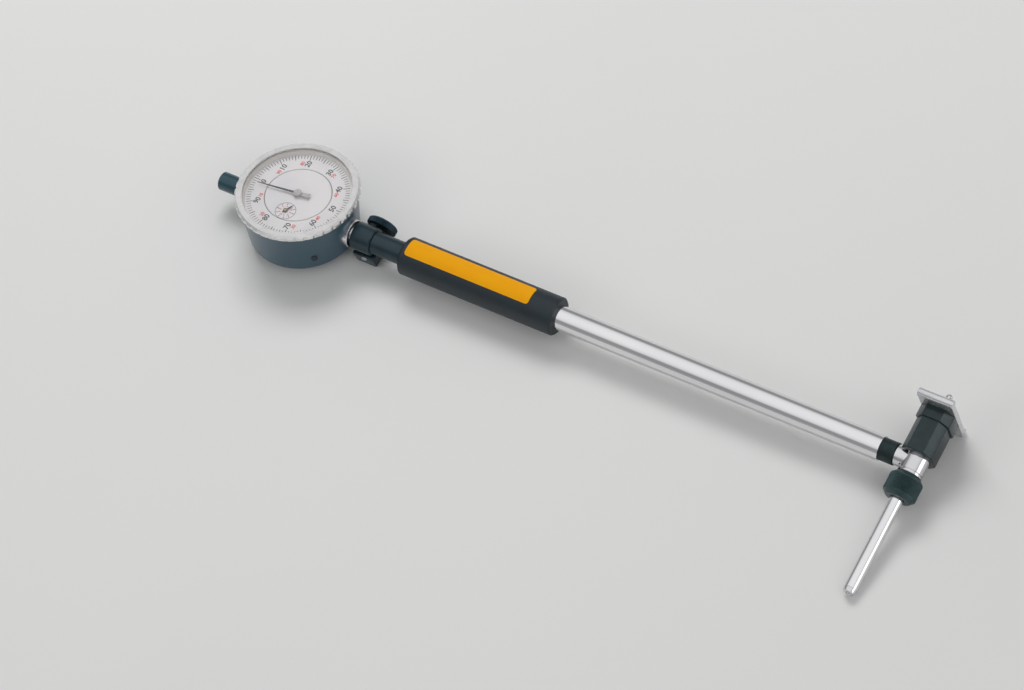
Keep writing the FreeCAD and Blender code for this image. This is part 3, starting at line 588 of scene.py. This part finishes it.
def ring_line(radius, width, place, material, count=96):
    """Thin printed circle."""
    build = bmesh.new()
    rows = []
    inner, outer = radius - width / 2, radius + width / 2
    for r, z in ((inner, 0), (inner, INK), (outer, INK), (outer, 0)):
        rows.append([build.verts.new((r * math.cos(math.tau * n / count),
                                      r * math.sin(math.tau * n / count), z)) for n in range(count)])
    for k in range(4):
        for n in range(count):
            m = (n + 1) % count
            build.faces.new((rows[k][n], rows[k][m], rows[(k + 1) % 4][m], rows[(k + 1) % 4][n]))
    return built(build, "line", place, material)


def counter_printing():
    """Circle, strokes and figures of the turn counter, and the fine circle round the middle of the dial."""
    EDGE_R, COUNTER_AT, COUNTER_R, FIGURES_R, FIGURE = 0.0153, -0.0106, 0.0048, 0.0027, 0.0014
    STROKES_R, STROKE = 0.0046, 0.0012
    counter = ON_DIAL @ Matrix.Translation((0, COUNTER_AT, 0))
    marks = [ring_line(EDGE_R, 0.0001, ON_DIAL, print_grey),
             ring_line(COUNTER_R, 0.00018, counter, print_black, count=48),
             grown("counter_strokes", tick_tree(print_black), counter, Count=10, Outer=STROKES_R, Long=STROKE,
                   Medium=STROKE, Short=STROKE, Width=0.00022, Ink=INK)]
    for turns in range(10):
        angle = math.radians(180 - 36 * turns)
        marks.append(printed(str(turns), FIGURE, FIGURES_R * math.cos(angle), FIGURES_R * math.sin(angle),
                             counter, print_red, bold=0.00003))
    piece = joined("counter_printing", marks)
    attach(piece, "indicator")


counter_printing()


# ---- Hands -----------------------------------------------------------------
# The hands are stamped from thin sheet and blacked, and pressed on their arbors.
# The long hand's hub and its tail are bright nickel.
hand_black = surface("hand_black", "1C252C", "28323A", (0.35, 0.5), 0.002)
finish_nodes(hand_black, "main_hand", "counter_hand")
hub_nickel = surface("hub_nickel", "B6B4B1", "A8A6A4", (0.35, 0.45), 0.002, metallic=0.3)
finish_nodes(hub_nickel, "main_hand_hub")


# ---- Movement --------------------------------------------------------------
# Brass plates on pillars carry steel arbors and brass wheels inside the case.
# The rack on the plunger drives them, and the bushes guide plunger and rod.
brass = surface("brass", "C9A050", "B78D3F", (0.25, 0.4), 0.003, metallic=1.0, bump=0.0002, lift=0.08)
finish_nodes(brass, "movement_plate_low", "movement_plate_top", "movement_pillars", "counter_wheel",
             "rack_wheel", "cap_bush", "guide_bush_1", "guide_bush_2")
steel = surface("steel", "B4B6B8", "9C9EA1", (0.22, 0.36), 0.002, metallic=1.0, bump=0.0002, lift=0.08)
finish_nodes(steel, "centre_arbor", "plunger_rack", "push_rod", "push_rod_spring", "bell_crank",
             "crank_pivot", "bridge_spring", "bridge_stop_pin")
hard_steel = surface("hard_steel", "D2D4D6", "BFC1C4", (0.06, 0.12), 0.002, metallic=1.0)
finish_nodes(hard_steel, "contact_point", "moving_anvil_ball")


# ---- Stem and cap ----------------------------------------------------------
# The stem is ground steel, hard chromed and polished, for the clamp. The cap at
# the far end is turned from dark plastic and covers the plunger's end.
polished_chrome = surface("polished_chrome", "E8E8E9", "E3E3E5", (0.1, 0.125), 0.05, metallic=1.0)
finish_nodes(polished_chrome, "stem", "shaft_tube", "moving_anvil", "rod_anvil")
smooth_chrome = surface("smooth_chrome", "DCDCDE", "D2D2D5", (0.1, 0.14), 0.02, metallic=1.0)
finish_nodes(smooth_chrome, "head_body")
ON_STEM = place_along((ON_DIAL.translation.x, SHAFT.y, SHAFT.z), joints["bezel_turn"]["axis"])
# A cup over the boss: its wall stands on the boss, and its end closes in on the stem.
SLEEVE_IN, SLEEVE_OUT, SLEEVE_HOLE, SLEEVE_FROM, SLEEVE_END, END_INSIDE = 6.41, 6.65, 4.05, 25.4, 28.6, 28.22
sleeve = turned("stem_sleeve", [(SLEEVE_IN, SLEEVE_FROM), (SLEEVE_OUT, SLEEVE_FROM), (SLEEVE_OUT, 28.2),
                                (6.25, SLEEVE_END), (SLEEVE_HOLE, SLEEVE_END), (SLEEVE_HOLE, END_INSIDE),
                                (SLEEVE_IN, END_INSIDE)],
                ON_STEM @ Matrix.Rotation(math.pi / 2, 4, "Y"), smooth_chrome)
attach(sleeve, "indicator")
cap_plastic = surface("cap_plastic", "17424F", "1C4A58", (0.22, 0.3), 0.006, bump=0.0005, lift=0.05,
                      coat_weight=0.3, coat_roughness=0.1)
finish_nodes(cap_plastic, "plunger_cap")


# ---- Clamp -----------------------------------------------------------------
# A split steel collar, blued nearly black, grips the stem. A knurled knob on a
# screw draws its two ears together.
blued_steel = surface("blued_steel", "132A32", "1A3540", (0.28, 0.4), 0.012, metallic=0.35, bump=0.0004,
                      lift=0.06, coat_weight=0.25, coat_roughness=0.18)
SHAFT_START = joints["bezel_turn"]["pos_m"][0]
ON_CLAMP = place_along((SHAFT_START, SHAFT.y, SHAFT.z), measuring)
ON_SCREW = ON_CLAMP @ Matrix.Translation((0.0361, 0.0062, 0))


def milled(name, outline, low, high, place, material, edge=0.3):
    """Prism over an outline in millimetres, its sharp edges rounded by the given amount."""
    build = bmesh.new()
    base = build.faces.new([build.verts.new((x / 1000, y / 1000, low / 1000)) for x, y in outline])
    top = bmesh.ops.extrude_face_region(build, geom=[base])
    bmesh.ops.translate(build, vec=(0, 0, (high - low) / 1000),
                        verts=[item for item in top["geom"] if isinstance(item, bmesh.types.BMVert)])
    bmesh.ops.recalc_face_normals(build, faces=build.faces)
    if edge:
        corners = [side for side in build.edges if side.calc_face_angle() > math.radians(30)]
        bmesh.ops.bevel(build, geom=corners, offset=edge / 1000, segments=3, affect="EDGES",
                        clamp_overlap=True, profile=0.5)
    return built(build, name, place, material, crease=35)


def worked(piece, work, *tools):
    """Cut away or add each tool, and leave a plain mesh."""
    for tool in tools:
        modifier = piece.modifiers.new("work", "BOOLEAN")
        modifier.operation, modifier.solver, modifier.object = work, "EXACT", tool
    made = plain_mesh(piece)
    piece.modifiers.clear()
    clean = bmesh.new()
    clean.from_mesh(made)
    MERGE = 0.000002
    bmesh.ops.remove_doubles(clean, verts=clean.verts[:], dist=MERGE)
    bmesh.ops.dissolve_degenerate(clean, edges=clean.edges[:], dist=MERGE)
    clean.to_mesh(made)
    clean.free()
    piece.data = made
    made.shade_smooth()
    made.set_sharp_from_angle(angle=math.radians(35))
    for tool in tools:
        bpy.data.objects.remove(tool)
    return piece


def on_shaft(x):
    """Frame at x along the shaft, in millimetres: z runs on along it, and y is the measuring line."""
    along = Vector((1, 0, 0))
    axes = Matrix((measuring.cross(along), measuring, along)).transposed().to_4x4()
    return Matrix.Translation(Vector((x / 1000 + SHAFT_START, SHAFT.y, SHAFT.z))) @ axes


def knurl_tree(material):
    """Rows of small pyramids round a cylinder, each row half a step on from the last."""
    tree, start, end = new_tree("knurl", Count=80, Rows=6, Radius=0.007, Low=0.0, Long=0.006, Tooth=0.0003)
    tooth = tree.nodes.new("GeometryNodeMeshCone")
    tooth.inputs["Vertices"].default_value = 4
    tooth.inputs["Radius Top"].default_value = 0.12
    tooth.inputs["Radius Bottom"].default_value = 1.0
    tooth.inputs["Depth"].default_value = 1.0
    index = tree.nodes.new("GeometryNodeInputIndex").outputs[0]
    count, rows = start.outputs["Count"], start.outputs["Rows"]
    row = maths(tree, "FLOOR", maths(tree, "DIVIDE", maths(tree, "ADD", index, 0.5), count))
    half = maths(tree, "MULTIPLY", maths(tree, "MODULO", row, 2.0), 0.5)
    step = maths(tree, "ADD", maths(tree, "MODULO", index, count), half)
    angle = maths(tree, "DIVIDE", maths(tree, "MULTIPLY", step, math.tau), count)
    pitch = maths(tree, "DIVIDE", start.outputs["Long"], maths(tree, "ADD", rows, 1.0))
    climb = maths(tree, "MULTIPLY", pitch, maths(tree, "ADD", row, 1.0))
    height = maths(tree, "ADD", start.outputs["Low"], climb)
    place = round_axis(tree, start.outputs["Radius"], angle, height)
    wide = maths(tree, "MULTIPLY", maths(tree, "DIVIDE", start.outputs["Radius"], count), math.pi)
    instances(tree, end, maths(tree, "MULTIPLY", count, rows), place, tooth.outputs["Mesh"],
              vector(tree, 0.0, math.pi / 2, angle), vector(tree, pitch, wide, start.outputs["Tooth"]),
              material)
    return tree


black_oxide = surface("black_oxide", "1A292B", "243638", (0.34, 0.5), 0.003, metallic=0.45, bump=0.0002,
                      lift=0.15)
# The knob's knurled rim gets a lighter blue-grey than its black oxide face: painted light, the rim shown as
# lit from above.
knurl_painted_lit = surface("knurl_painted_lit", "2E4652", "38515E", (0.3, 0.42), 0.003, metallic=0.4)
knob_teeth_painted_lit = knurl_tree(knurl_painted_lit)
KNOB_R, KNOB_BOSS, KNOB_TOOTH, EARS_KNOB = 7.3, 2.6, 0.28, 5.7
clamp_frame = place_along(joints["clamp_screw_turn"]["pos_m"], joints["clamp_screw_turn"]["axis"])


def neck():
    """Collar on the stem, ears drawn together under it, and the neck that the grip is pressed on."""
    COLLAR, COLLAR_FROM, COLLAR_TO, NECK, NECK_TO, BORE_TO = 6.6, 29.9, 40.2, 5.4, 92.0, 45.6
    EARS_FROM, EARS_TO, EARS_NOSE, EARS_LOW = 30.2, 41.6, -7.2, 12.1
    BORE, ROD_BORE, BEVEL, EARS_TOP, CORNER, SLIT, SCREW_HOLE = 4.02, 2.2, 0.5, 4.4, 1.2, 0.5, 1.56
    body = turned("neck", [(BORE, COLLAR_FROM), (COLLAR - BEVEL, COLLAR_FROM), (COLLAR, COLLAR_FROM + BEVEL),
                           (COLLAR, COLLAR_TO - BEVEL), (COLLAR - BEVEL, COLLAR_TO), (NECK, COLLAR_TO),
                           (NECK, NECK_TO), (ROD_BORE, NECK_TO), (ROD_BORE, BORE_TO), (BORE, BORE_TO)],
                  on_shaft(0), blued_steel)
    ears = milled("ears", [(EARS_FROM, EARS_TOP), (EARS_TO, EARS_TOP), (EARS_TO, EARS_LOW - CORNER),
                           (EARS_TO - CORNER, EARS_LOW), (EARS_FROM + CORNER, EARS_LOW),
                           (EARS_FROM, EARS_LOW - CORNER)], EARS_NOSE, EARS_KNOB, ON_CLAMP, blued_steel,
                  edge=0.5)
    body = worked(body, "UNION", ears)
    slit = milled("slit", [(COLLAR_FROM - 1, 3), (BORE_TO, 3), (BORE_TO, 14), (COLLAR_FROM - 1, 14)], -SLIT,
                  SLIT, ON_CLAMP, blued_steel, edge=0)
    hole = turned("hole", [(0, -9), (SCREW_HOLE, -9), (SCREW_HOLE, 7), (0, 7)], ON_SCREW, blued_steel,
                  count=48)
    piece = worked(body, "DIFFERENCE", slit, hole)
    piece.name = "clamp_body"
    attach(piece, "gauge_body")
    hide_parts("clamp_neck")


neck()
SCREW_R, SCREW_NOSE, SCREW_END, NOSE_BEVEL = 1.5, -7.8, 12.2, 0.6
screw = turned("clamp_screw_body", [(0, SCREW_NOSE), (SCREW_R - NOSE_BEVEL, SCREW_NOSE),
                                    (SCREW_R, SCREW_NOSE + NOSE_BEVEL), (SCREW_R, SCREW_END), (0, SCREW_END)],
               ON_SCREW, screw_steel, count=48)
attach(screw, "clamp")
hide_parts("clamp_screw")


def knob():
    """Boss, disc and knurled rim of the clamp's knob."""
    BOSS_LONG, DISC, BEVEL, SHY = 2.7, 3.8, 0.5, 0.15
    reach = (Vector(joints["clamp_screw_turn"]["pos_m"]) - Vector((0, SHAFT.y, SHAFT.z))).dot(measuring)
    start = EARS_KNOB - reach * 1000
    rim = KNOB_R - KNOB_TOOTH
    boss = start + BOSS_LONG
    end = boss + DISC
    body = turned("knob", [(SCREW_R, start), (KNOB_BOSS, start), (KNOB_BOSS, boss), (5.6, boss),
                           (6.1, boss + 0.35), (rim - BEVEL, boss + SHY), (rim, boss + 0.6), (rim, end - 0.6),
                           (rim - BEVEL, end - SHY), (5.9, end), (5.3, end - BEVEL), (2.6, end - BEVEL),
                           (2.3, end), (SCREW_R, end)], clamp_frame, black_oxide)
    # The knurl carries the lighter blue-grey of painted light on the rim.
    grip_rows = grown("knob_knurl", knob_teeth_painted_lit, clamp_frame, Count=72, Rows=5, Radius=rim / 1000,
                      Low=(boss + 0.45) / 1000, Long=2.9 / 1000, Tooth=KNOB_TOOTH / 1000)
    piece = joined("knurled_knob", [body, grip_rows])
    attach(piece, "clamp")
    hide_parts("clamp_knob")


knob()


# ---- Grip and label --------------------------------------------------------
# The grip is a moulded sleeve in blue-black plastic that keeps the hand's warmth
# off the tube. An orange paper label is stuck along it.
grip_plastic = surface("grip_plastic", "18242A", "1C2A31", (0.42, 0.52), 0.01, bump=0.0003, lift=0.1)
finish_nodes(grip_plastic, "grip")
label_orange = surface("label_orange", "FFAD00", "FFB303", (0.42, 0.5), 0.01, bump=0.0003, lift=0.03,
                       specular_ior_level=0.25)
GRIP_R, LABEL_MIDDLE, LABEL_SEAT, LABEL_THICK = 9.0, 87.0, 0.01, 0.21
LABEL_FROM, LABEL_TO, LABEL_HALF, LABEL_CORNER = 59.6, 124.8, 4.75, 1.4


def around_grip(x, side, lift):
    """Point on the grip: x along it, side across the label and lift off it, in millimetres."""
    angle = math.radians(LABEL_MIDDLE) - side / GRIP_R
    reach = GRIP_R + lift
    return (x / 1000 + SHAFT_START, SHAFT.y + reach * math.cos(angle) / 1000,
            SHAFT.z + reach * math.sin(angle) / 1000)


def label():
    """Bare strip with rounded corners, bent round the grip."""
    LONG, ACROSS = 64, 12
    build = bmesh.new()
    columns = []
    for n in range(LONG + 1):
        # The steps are short at both ends, where the corners are.
        x = LABEL_FROM + (LABEL_TO - LABEL_FROM) * (1 - math.cos(math.pi * n / LONG)) / 2
        inset = max(LABEL_CORNER - (x - LABEL_FROM), LABEL_CORNER - (LABEL_TO - x), 0)
        half = LABEL_HALF - LABEL_CORNER + math.sqrt(max(LABEL_CORNER ** 2 - inset ** 2, 0))
        columns.append([build.verts.new(around_grip(x, half * (2 * k / ACROSS - 1), LABEL_SEAT))
                        for k in range(ACROSS + 1)])
    for left, right in zip(columns, columns[1:]):
        for k in range(ACROSS):
            build.faces.new((left[k], right[k], right[k + 1], left[k + 1]))
    bmesh.ops.recalc_face_normals(build, faces=build.faces)
    bmesh.ops.solidify(build, geom=build.faces[:], thickness=LABEL_THICK / 1000)
    strip = built(build, "label_strip", Matrix(), label_orange)
    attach(strip, "gauge_body")
    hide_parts("label")


label()


# ---- Tube and lock ring ----------------------------------------------------
# A drawn steel tube, chromed and polished, carries the head. The blacked ring
# locks the head to it.
finish_nodes(black_oxide, "lock_ring")


# ---- Knurled nut -----------------------------------------------------------
# The nut screws on the head's spigot and holds the measuring rod by its collar.
# It is turned steel, bevelled at both ends, cross knurled and blacked.
# The nut's blacking is painted lighter than the lock ring's, as painted light against the shade its own knurl
# casts on it.
nut_oxide_painted_lighter = surface("nut_oxide_painted_lighter", "2F4447", "3A5154", (0.32, 0.46), 0.003, metallic=0.35)
nut_teeth_painted_lighter = knurl_tree(nut_oxide_painted_lighter)


def rod_nut():
    """Nut with both ends bevelled, bored for the rod and for the spigot, and its knurl."""
    TOP, LOW, OUT, BEVEL, TOOTH = -6.9, -18.4, 7.7, 1.7, 0.3
    ROD_HOLE, SPIGOT_HOLE, SEAT, EASE = 3.4, 4.54, -15.1, 0.2
    rim, end_r = OUT - TOOTH, OUT - BEVEL
    body = turned("nut", [(ROD_HOLE, LOW), (end_r - 0.3, LOW), (end_r, LOW + EASE), (rim, LOW + BEVEL),
                          (rim, TOP - BEVEL), (end_r, TOP - EASE), (end_r - 0.3, TOP), (SPIGOT_HOLE, TOP),
                          (SPIGOT_HOLE, SEAT), (ROD_HOLE, SEAT)], ON_HEAD, nut_oxide_painted_lighter)
    rows = grown("nut_knurl", nut_teeth_painted_lighter, ON_HEAD, Count=72, Rows=9, Radius=rim / 1000, Low=(LOW + 1.5) / 1000,
                 Long=(TOP - LOW - 3.0) / 1000, Tooth=TOOTH / 1000)
    piece = joined("knurled_nut", [body, rows])
    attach(piece, "rod_nut")
    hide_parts("lock_nut")


rod_nut()


# ---- Rod tip ---------------------------------------------------------------
# The rod's end is ground to a blunt cone round a small hardened ball. The ball
# is pressed in and lapped, and it touches the bore.
BALL, CONE_END, TIP = 1.5, -65.1, -66.2
ball_low = math.degrees(math.asin((TIP + BALL - CONE_END) / BALL))
ball_arc = [(BALL * math.cos(math.radians(turn)), TIP + BALL - BALL * math.sin(math.radians(turn)))
            for turn in (ball_low, 28, 40, 52, 64, 76)]
rod_tip = turned("rod_tip", [(0, -62.0), (2.9, -62.0), (3.06, -62.9), (2.75, -64.7), (2.3, CONE_END)]
                 + ball_arc + [(0, TIP)], ON_HEAD, smooth_chrome)
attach(rod_tip, "gauge_body")
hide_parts("rod_anvil_ball")


# ---- Bridge ----------------------------------------------------------------
# The carriage slides on the head's sleeve and is milled and blacked. The plate
# that centres the gauge in a bore is ground steel, satin chromed.
carriage_black = surface("carriage_black", "1F2D2F", "28383A", (0.2, 0.3), 0.006, metallic=0.35, bump=0.0003,
                         lift=0.04)
satin_plate = surface("satin_plate", "DFE0E2", "D2D3D6", (0.22, 0.3), 0.004, metallic=0.75,
                      stretch=(1, 14, 14))
HEAD_X = (head_at.x - SHAFT_START) * 1000
PLATE_LOW, PLATE_TOP, SCREWS_W = 23.7, 25.9, 7.9


def eight_sided(half_x, half_w, flat_x, flat_w):
    """Outline of a bar with four bevelled edges; flat_x and flat_w are half the flats left."""
    quarter = ((half_x, -flat_w), (half_x, flat_w), (flat_x, half_w), (-flat_x, half_w))
    return list(quarter) + [(-x, -w) for x, w in quarter]


def carriage():
    """Bevelled bar with a collar under the plate, bored for the sleeve and notched over the neck."""
    LOW, COLLAR, OUT, BORE, NOTCH, NOTCH_TOP, BAR_SHORT = 2.2, 17.7, 0.9, 5.74, 5.0, 8.0, 1
    HALF_X, HALF_W, FLAT_X, FLAT_W = 7.2, 9.4, 3.8, 5.0
    PIN_U, PIN_SLOT, PIN_DEEP = 8.9, 1.04, 7.7
    # The bar ends inside the collar, a little short of the plate.
    bar = eight_sided(HALF_X, HALF_W, FLAT_X, FLAT_W)
    body = milled("carriage", bar, LOW, PLATE_LOW - BAR_SHORT, ON_HEAD, carriage_black, edge=0.25)
    wider = eight_sided(HALF_X + OUT, HALF_W + OUT, FLAT_X + OUT / 2, FLAT_W + OUT / 2)
    collar = milled("collar", wider, COLLAR, PLATE_LOW, ON_HEAD, carriage_black, edge=0.3)
    body = worked(body, "UNION", collar)
    bore = turned("bore", [(0, 0), (BORE, 0), (BORE, 30), (0, 30)], ON_HEAD, carriage_black)
    notch = milled("notch", [(-12, -NOTCH), (0, -NOTCH), (0, NOTCH), (-12, NOTCH)], 0, NOTCH_TOP, ON_HEAD,
                   carriage_black, edge=0)
    slot = milled("slot", [(-PIN_SLOT, -PIN_DEEP), (PIN_SLOT, -PIN_DEEP), (PIN_SLOT, 0), (-PIN_SLOT, 0)],
                  PIN_U - PIN_SLOT, PIN_U + PIN_SLOT + 3.0, ON_HEAD, carriage_black, edge=0)
    holes = [turned("hole", [(0, 16.9), (1.2, 16.9), (1.2, 24), (0, 24)],
                    ON_HEAD @ Matrix.Translation((0, side * SCREWS_W / 1000, 0)), carriage_black, count=32)
             for side in (-1, 1)]
    piece = worked(body, "DIFFERENCE", bore, notch, slot, *holes)
    piece.name = "bevelled_carriage"
    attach(piece, "bridge")
    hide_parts("bridge_carriage")


def plate():
    """Bar across the carriage with thick rounded lips, bored for the moving anvil and its screws."""
    HALF_X, LIP, LIP_W, LIP_U = 8.4, 1.9, 15.6, 25.1
    ANVIL_HOLE, SCREW_HOLE, HEAD_HOLE, HEAD_DEEP = 2.7, 1.22, 2.12, 1.2
    # The ends of the two arcs set its faces, a quarter of a millimetre past PLATE_LOW at most.
    lip = [(LIP_W + LIP * math.cos(math.radians(turn)), LIP_U + LIP * math.sin(math.radians(turn)))
           for turn in range(-120, 151, 15)]
    outline = lip + [(-w, u) for w, u in reversed(lip)]
    body = milled("plate", outline, -HALF_X, HALF_X, on_shaft(HEAD_X), satin_plate, edge=0.35)
    under, over = PLATE_LOW - 2, PLATE_TOP + 2
    hole = turned("hole", [(0, under), (ANVIL_HOLE, under), (ANVIL_HOLE, over), (0, over)], ON_HEAD,
                  satin_plate, count=64)
    seats = [turned("seat", [(0, under), (SCREW_HOLE, under), (SCREW_HOLE, PLATE_TOP - HEAD_DEEP),
                             (HEAD_HOLE, PLATE_TOP - HEAD_DEEP), (HEAD_HOLE, over), (0, over)],
                    ON_HEAD @ Matrix.Translation((0, side * SCREWS_W / 1000, 0)), satin_plate, count=48)
             for side in (-1, 1)]
    piece = worked(body, "DIFFERENCE", hole, *seats)
    piece.name = "lipped_plate"
    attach(piece, "bridge")
    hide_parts("bridge_plate")


carriage()
plate()
SCREW_HEAD = 1.2
bridge_screws = grown("bridge_screw_heads", screws,
                      ON_HEAD @ Matrix.Translation((0, 0, (PLATE_TOP - SCREW_HEAD / 2) / 1000)), Count=2,
                      Ring=SCREWS_W / 1000, Head=0.00208, Height=SCREW_HEAD / 1000, Slot=0.0005,
                      First=math.pi / 2)
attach(bridge_screws, "bridge")
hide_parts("bridge_screws")
